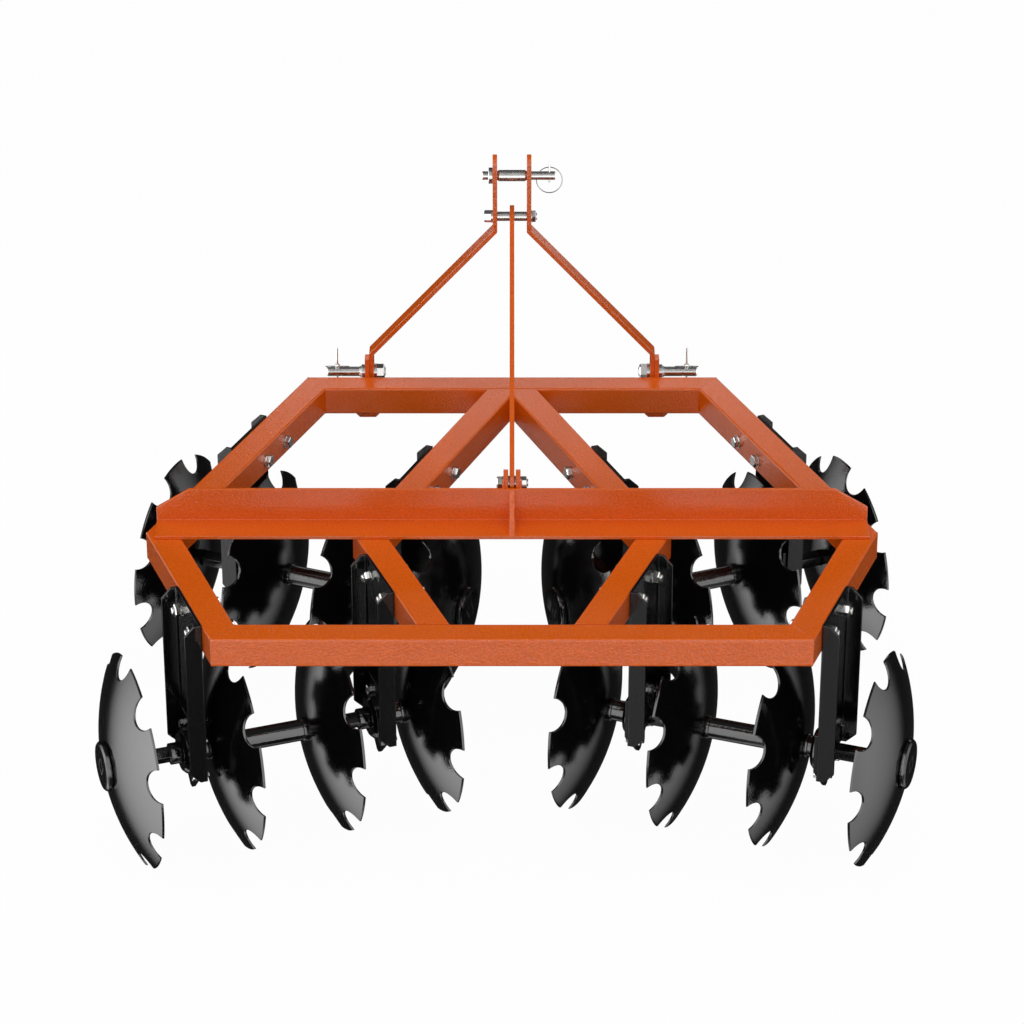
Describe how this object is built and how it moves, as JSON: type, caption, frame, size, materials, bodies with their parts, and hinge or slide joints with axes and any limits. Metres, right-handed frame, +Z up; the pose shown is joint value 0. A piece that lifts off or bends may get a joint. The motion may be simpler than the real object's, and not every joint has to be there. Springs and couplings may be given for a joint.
{
  "type": "disc harrow",
  "caption": "Compact tandem disc harrow with notched blades on angled gangs under a tube frame, an A-frame mast and a three-point hitch.",
  "frame": {"origin": "on the ground, under the middle of the whole machine's box", "axes": "+X to the machine's right, +Y the way it travels, towards the tractor, +Z up"},
  "size_m": [1.6962, 1.3769, 1.0939],
  "materials": {
    "orange_powder_coat": "orange powder coat, fine orange peel",
    "black_gloss_paint": "gloss black enamel on disc blades",
    "black_satin_paint": "satin black enamel",
    "zinc_plate": "bright zinc plate"
  },
  "bodies": {
    "frame": {"front_beam": "orange_powder_coat", "rear_beam": "orange_powder_coat", "outer_tube_front_left": "orange_powder_coat", "outer_tube_front_right": "orange_powder_coat", "outer_tube_rear_left": "orange_powder_coat", "outer_tube_rear_right": "orange_powder_coat", "inner_tube_front_left": "orange_powder_coat", "inner_tube_front_right": "orange_powder_coat", "inner_tube_rear_left": "orange_powder_coat", "inner_tube_rear_right": "orange_powder_coat", "cross_angle": "orange_powder_coat", "centre_gusset": "orange_powder_coat", "brace_lugs": "orange_powder_coat", "mast_brace": "orange_powder_coat", "brace_bolt": "zinc_plate", "mast_bar_left": "orange_powder_coat", "mast_bar_right": "orange_powder_coat", "hitch_lugs": "orange_powder_coat", "lower_pin_left": "zinc_plate", "lower_pin_right": "zinc_plate", "top_link_pin": "zinc_plate", "mast_bolt": "zinc_plate", "standards_front_left": "black_satin_paint", "bearings_front_left": "black_satin_paint", "standards_front_right": "black_satin_paint", "bearings_front_right": "black_satin_paint", "standards_rear_left": "black_satin_paint", "bearings_rear_left": "black_satin_paint", "standards_rear_right": "black_satin_paint", "bearings_rear_right": "black_satin_paint"},
    "gang_front_left": {"axle_front_left": "black_satin_paint", "discs_front_left": "black_gloss_paint", "spools_front_left": "black_gloss_paint", "end_caps_front_left": "black_gloss_paint"},
    "gang_front_right": {"axle_front_right": "black_satin_paint", "discs_front_right": "black_gloss_paint", "spools_front_right": "black_gloss_paint", "end_caps_front_right": "black_gloss_paint"},
    "gang_rear_left": {"axle_rear_left": "black_satin_paint", "discs_rear_left": "black_gloss_paint", "spools_rear_left": "black_gloss_paint", "end_caps_rear_left": "black_gloss_paint"},
    "gang_rear_right": {"axle_rear_right": "black_satin_paint", "discs_rear_right": "black_gloss_paint", "spools_rear_right": "black_gloss_paint", "end_caps_rear_right": "black_gloss_paint"}
  },
  "joints": [
    {"name": "gang_front_left_roll", "type": "hinge", "parent": "frame", "child": "gang_front_left", "pos_m": [-0.56612, 0.35373, 0.225], "axis": [0.9272, -0.3746, 0], "continuous": true},
    {"name": "gang_front_right_roll", "type": "hinge", "parent": "frame", "child": "gang_front_right", "pos_m": [0.58952, 0.35373, 0.225], "axis": [0.9272, 0.3746, 0], "continuous": true},
    {"name": "gang_rear_left_roll", "type": "hinge", "parent": "frame", "child": "gang_rear_left", "pos_m": [-0.64004, -0.43118, 0.225], "axis": [0.9397, 0.342, 0], "continuous": true},
    {"name": "gang_rear_right_roll", "type": "hinge", "parent": "frame", "child": "gang_rear_right", "pos_m": [0.66344, -0.43118, 0.225], "axis": [0.9397, -0.342, 0], "continuous": true}
  ]
}
